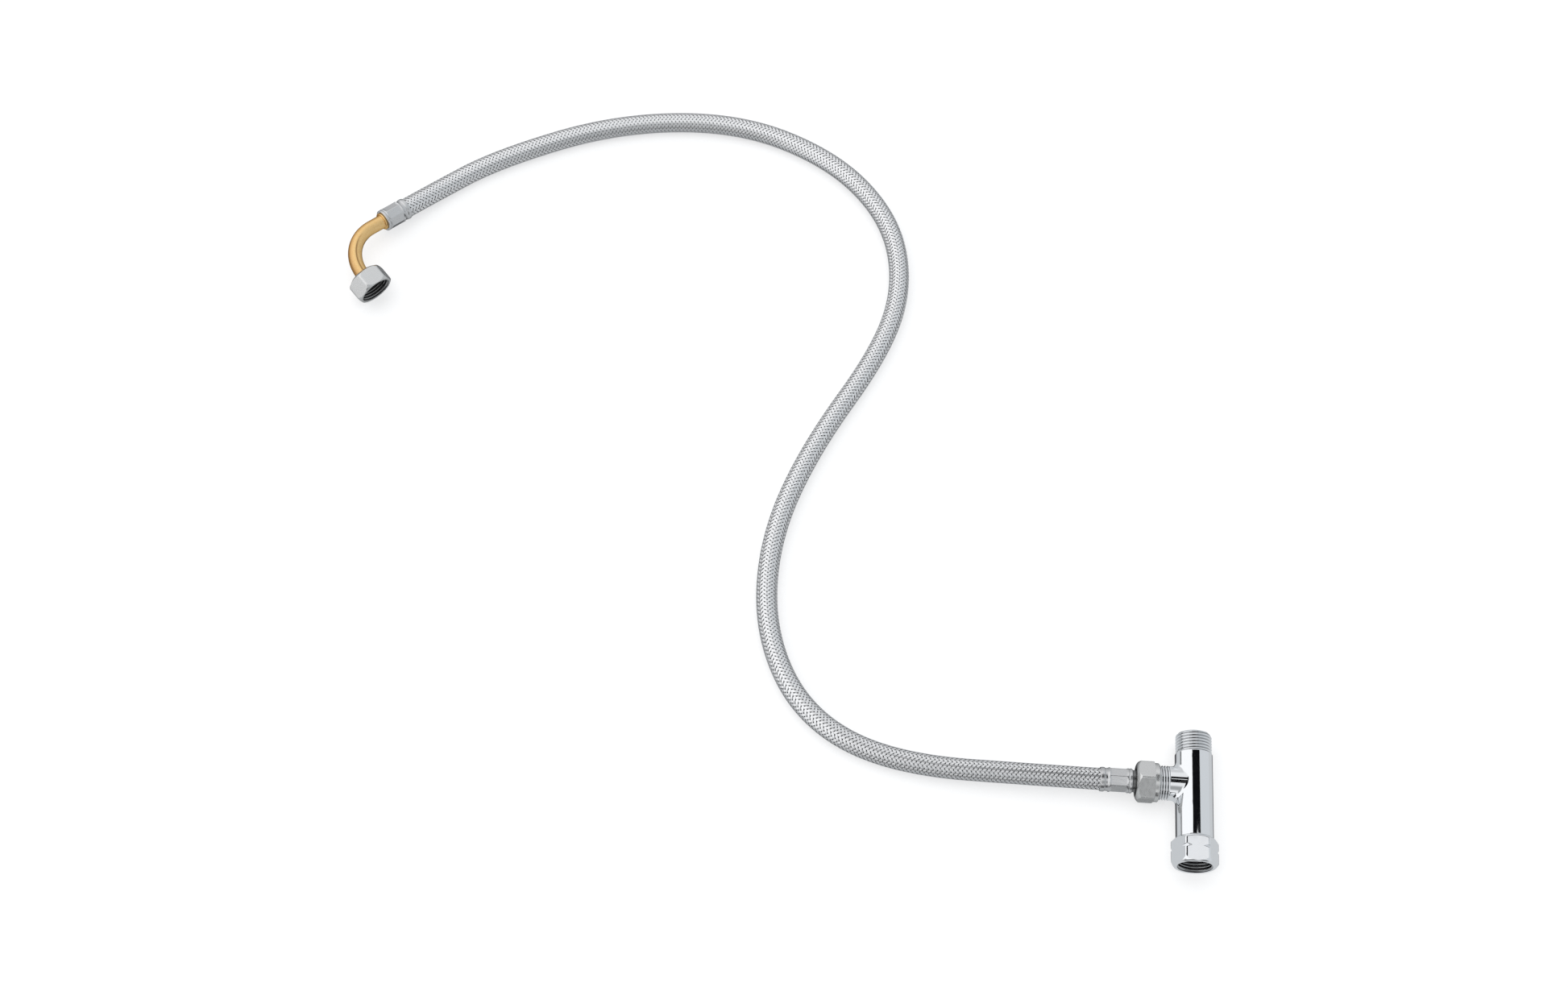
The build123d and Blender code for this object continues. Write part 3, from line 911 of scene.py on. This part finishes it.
# ---- hose ----
LINER_R, LINER_BORE_R = 5.65, 4.2
LINER_ROWS, LINER_SIDES = 500, 24
BRAID_MIDDLE_R = 6.1
BRAID_LIFT = 0.20           # how far a ribbon rises to pass over the others, and dips to pass under
CARRIERS = 12               # ribbons each way
CROSSINGS = 6               # times that a ribbon passes over and under in one turn
FIRST_CROSSING = math.radians(7.5)
RIBBON_LEAD = 30.8          # length of hose in which a ribbon goes once round
RIBBON_WIRES = 5
WIRE = 0.28
WIRE_VALLEY = 0.04          # height of the groove between two wires
WEAVE_STEEPNESS = 2.0       # how quickly a ribbon changes from over to under
ROWS_PER_TURN = 48
RIBBONS_PER_PIECE = 4


def route_curve():
    curve = bpy.data.curves.new("hose_route", "CURVE")
    curve.dimensions = "3D"
    spline = curve.splines.new("NURBS")
    spline.points.add(len(ROUTE) - 1)
    for point, place in zip(spline.points, ROUTE):
        point.co = (*place, 1)
    spline.order_u = 3
    spline.use_endpoint_u = True
    spline.resolution_u = 24
    return curve


def route_line():
    """Points down the middle of the hose, read from its NURBS spline."""
    curve = route_curve()
    carrier = bpy.data.objects.new("hose_route", curve)
    mesh = bpy.data.meshes.new_from_object(carrier)
    line = np.array([v.co for v in mesh.vertices], float)
    bpy.data.meshes.remove(mesh)
    bpy.data.objects.remove(carrier)
    bpy.data.curves.remove(curve)
    return line


class Path:
    """A line with a frame that doesn't twist, to put things round it at any distance along."""

    def __init__(self, line):
        self.line = line
        self.along = np.concatenate([[0], np.cumsum(np.linalg.norm(np.diff(line, axis=0), axis=1))])
        self.length = self.along[-1]
        ahead = np.gradient(line, self.along, axis=0)
        ahead /= np.linalg.norm(ahead, axis=1)[:, None]
        side = unit(np.cross(ahead[0], (0, 0, 1)))
        sides = []
        for tangent in ahead:
            side = unit(side - tangent * np.dot(tangent, side))
            sides.append(side)
        self.side = np.array(sides)
        self.other = np.cross(ahead, self.side)

    def at(self, distance, angle, radius):
        """Points at distances along, angles about and radii from the line, all in metres."""
        distance = np.clip(distance, 0, self.length)
        middle, side, other = (
            np.stack([np.interp(distance, self.along, table[:, k]) for k in range(3)], axis=-1)
            for table in (self.line, self.side, self.other))
        across = np.cos(angle)[..., None] * side + np.sin(angle)[..., None] * other
        return middle + radius[..., None] * across


def closed_ends(rows):
    """The same rows between two that are drawn together at their middle."""
    middle = rows.mean(axis=1, keepdims=True) + 0 * rows
    return np.concatenate([middle[:1], rows, middle[-1:]])


def make_ribbons(name, path, hand, numbers, material):
    """Flat ribbons of side-by-side wires, woven two over and two under the other hand's."""
    half = RIBBON_WIRES * WIRE / 2
    across = np.linspace(-half, half, 2 * RIBBON_WIRES + 1)
    crown = np.where(np.arange(len(across)) % 2 == 1, WIRE / 2, WIRE_VALLEY)
    section = list(zip(across, crown))
    section += [(half * 0.6, -WIRE / 2), (-half * 0.6, -WIRE / 2)]
    offset, height = np.array(section + section[:1]).T
    slant = math.atan(FULL_TURN * BRAID_MIDDLE_R / RIBBON_LEAD)
    total = path.length / MM
    rows = np.arange(-1, total / RIBBON_LEAD * ROWS_PER_TURN + 2) / ROWS_PER_TURN * RIBBON_LEAD
    shell = Shell()
    for number in numbers:
        along = rows[:, None] - offset * math.sin(slant)
        around = FULL_TURN * (rows[:, None] / RIBBON_LEAD) + offset * math.cos(slant) / BRAID_MIDDLE_R
        angle = FULL_TURN * number / CARRIERS + hand * around
        wave = np.tanh(WEAVE_STEEPNESS * np.cos(CROSSINGS * (angle - FIRST_CROSSING)))
        wave /= math.tanh(WEAVE_STEEPNESS)
        radius = BRAID_MIDDLE_R + hand * BRAID_LIFT * wave + height
        points = path.at(along * MM, angle, radius * MM)
        marks = np.stack([np.cos(angle), np.sin(angle), along / MARK_LENGTH], axis=-1)
        shell.grid(closed_ends(points)[:, ::hand], closed_ends(marks)[:, ::hand])
    piece = shell.build(name, material, sharp=None)
    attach(piece, "root")
    return piece


def make_liner(path, material):
    angles = even_turn(LINER_SIDES)
    steps = np.linspace(0, path.length, LINER_ROWS)
    shell = Shell()
    distance, angle = np.meshgrid(steps, angles, indexing="ij")
    outside = path.at(distance, angle, np.full_like(angle, LINER_R * MM))
    inside = path.at(distance, angle, np.full_like(angle, LINER_BORE_R * MM))[::-1]
    marks = np.stack([np.cos(angle), np.sin(angle), distance / MM / MARK_LENGTH], axis=-1)
    shell.grid(np.concatenate([outside, inside]), np.concatenate([marks, marks[::-1]]), loop=True)
    liner = shell.build("hose_liner_tube", material)
    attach(liner, "root")
    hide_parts("hose_liner")
    return liner


def make_braid(path, material):
    pieces = []
    for hand, side in ((1, "right"), (-1, "left")):
        for first in range(0, CARRIERS, RIBBONS_PER_PIECE):
            numbers = range(first, first + RIBBONS_PER_PIECE)
            name = f"hose_braid_{side}_{first // RIBBONS_PER_PIECE + 1}"
            pieces.append(make_ribbons(name, path, hand, numbers, material))
    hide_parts("hose_braid")
    return pieces


# ---- elbow pipe ----
PIPE_R, PIPE_BORE_R = 4.5, 3.3
BEND_R = 25.4
PIPE_START, BEND_START = 8.2, 13.7      # heights behind the elbow nut's mouth
PIPE_COLUMNS, BEND_ROWS, TAIL_ROWS = 160, 48, 59
BARB_R, BARB_LENGTH = 4.15, 15.0
COLLAR_R = 5.8              # the upset collar in front of the ferrule
SEAM_DEPTH, SEAM_WIDTH, SEAM_FADE = 0.12, 0.05, 12.0


def pipe_path(mouth, inward, lip, outward):
    """Straight, bend, straight: from the pipe's end in the nut to the tip of its barb."""
    turn = math.acos(float(np.dot(inward, outward)))
    begin = mouth + inward * BEND_START * MM
    middle = unit(outward - inward * np.dot(inward, outward))
    centre = begin + middle * BEND_R * MM
    bend = np.linspace(0, turn, BEND_ROWS + 1)[:, None]
    arc = centre + BEND_R * MM * (inward * np.sin(bend) - middle * np.cos(bend))
    start = mouth + inward * PIPE_START * MM
    tip = lip + outward * (FERRULE_WALL + BARB_LENGTH) * MM
    straight_in = start + (begin - start) * np.linspace(0, 1, 4)[:-1, None]
    straight_out = arc[-1] + (tip - arc[-1]) * np.linspace(0, 1, TAIL_ROWS + 1)[1:, None]
    return Path(np.concatenate([straight_in, arc, straight_out]))


def make_pipe(lip, outward, material):
    work = elbow_frame(even_turn(PIPE_COLUMNS))
    path = pipe_path(work.origin, work.z, lip, outward)
    end = path.length / MM
    lip_at = end - BARB_LENGTH - FERRULE_WALL
    outline = soften([(PIPE_BORE_R, 0.0), (PIPE_R, 0.0), (PIPE_R, 1.5)], 0.3)
    outline += [(PIPE_R, s) for s in np.arange(2.0, lip_at - 2.2, 0.8)]
    outline += soften([
        (PIPE_R, lip_at - 1.8), (PIPE_R + 0.1, lip_at - 1.4), (COLLAR_R - 0.2, lip_at - 1.25),
        (COLLAR_R, lip_at - 0.7), (COLLAR_R - 0.2, lip_at - 0.1), (PIPE_R, lip_at),
        (PIPE_R, lip_at + FERRULE_WALL - 0.1), (BARB_R, lip_at + FERRULE_WALL), (BARB_R, end - 1),
        (BARB_R - 0.5, end), (PIPE_BORE_R, end),
    ], 0.15)
    outline += [(PIPE_BORE_R, s) for s in np.arange(end - 1, 0.5, -1.0)]
    angles = work.angles
    radius = np.array([r for r, _ in outline])[:, None] + 0 * angles
    along = np.array([s for _, s in outline])[:, None] + 0 * angles
    angle = angles + 0 * radius
    seam = np.exp(-((angle - SEAM_ANGLE) / SEAM_WIDTH) ** 2)
    fade = np.clip((SEAM_END / MM - along) / SEAM_FADE, 0, 1)
    radius -= SEAM_DEPTH * seam * fade * (radius == PIPE_R)
    shell = Shell()
    marks = np.stack([np.cos(angle), np.sin(angle), along / MARK_LENGTH], axis=-1)
    shell.grid(path.at(along * MM, angle, radius * MM), marks, loop=True)
    pipe = shell.build("elbow_pipe_brass", material)
    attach(pipe, "root")
    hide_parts("elbow_pipe")
    return pipe


# ---- assembly ----
def paint_cad(node, material, slot):
    """A hidden piece keeps its CAD shape and gets its material."""
    piece = frame["nodes"][node]
    piece.data.materials.clear()
    piece.data.materials.append(material)
    return piece


# hidden pieces that keep their CAD shape: node, material, slot
PAINTED = (
    ("elbow_flange", "plain_brass", "raw_brass"),
    ("elbow_gasket", "gasket_rubber", "gasket_rubber"),
    ("inlet_gasket", "gasket_rubber", "gasket_rubber"),
    ("hose_gasket", "gasket_rubber", "gasket_rubber"),
    # the tail's dark grey is painted shade
    ("hose_tail", "plated_tail_painted_shade", "satin_nickel"),
    ("inlet_nut_ring", "spring_wire", "spring_wire"),
)


def make_studio():
    bpy.context.scene.view_settings.view_transform = "Standard"
    make_camera()
    make_world()
    make_floor()
    make_cards()
    make_lamp()


def main():
    make_studio()
    materials = make_materials()
    path = Path(route_line())
    outward = unit(np.array(ROUTE[1]) - np.array(ROUTE[0]))
    lip = np.array(ROUTE[0]) - outward * FERRULE_WALL * MM
    braid = make_braid(path, materials["braid_wire"])
    liner = make_liner(path, materials["liner_rubber"])
    make_tee(materials["chrome_plate"])
    make_inlet_nut(materials["chrome_plate"])
    make_hose_nut(materials["satin_nickel"])
    elbow_nut = make_elbow_nut(materials["satin_nickel"])
    tee_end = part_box("tee_end_ferrule")[1].x
    tee_sleeve = Turned((tee_end, BRANCH_Y, 0), (-1, 0, 0), (0, 0, 1), even_turn(NUT_COLUMNS))
    make_ferrule("tee_end_ferrule_sleeve", "tee_end_ferrule", tee_sleeve, TAIL_HOLE_R,
                 materials["ferrule_steel"])
    elbow_sleeve = Turned(lip, outward, (0, 0, 1), even_turn(NUT_COLUMNS))
    sleeve = make_ferrule("elbow_end_ferrule_sleeve", "elbow_end_ferrule", elbow_sleeve, PIPE_R + 0.05,
                          materials["ferrule_steel"])
    pipe = make_pipe(lip, outward, materials["raw_brass"])
    painted = {node: paint_cad(node, materials[name], slot) for node, name, slot in PAINTED}
    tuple(ROUTE[-1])
    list(braid[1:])


main()
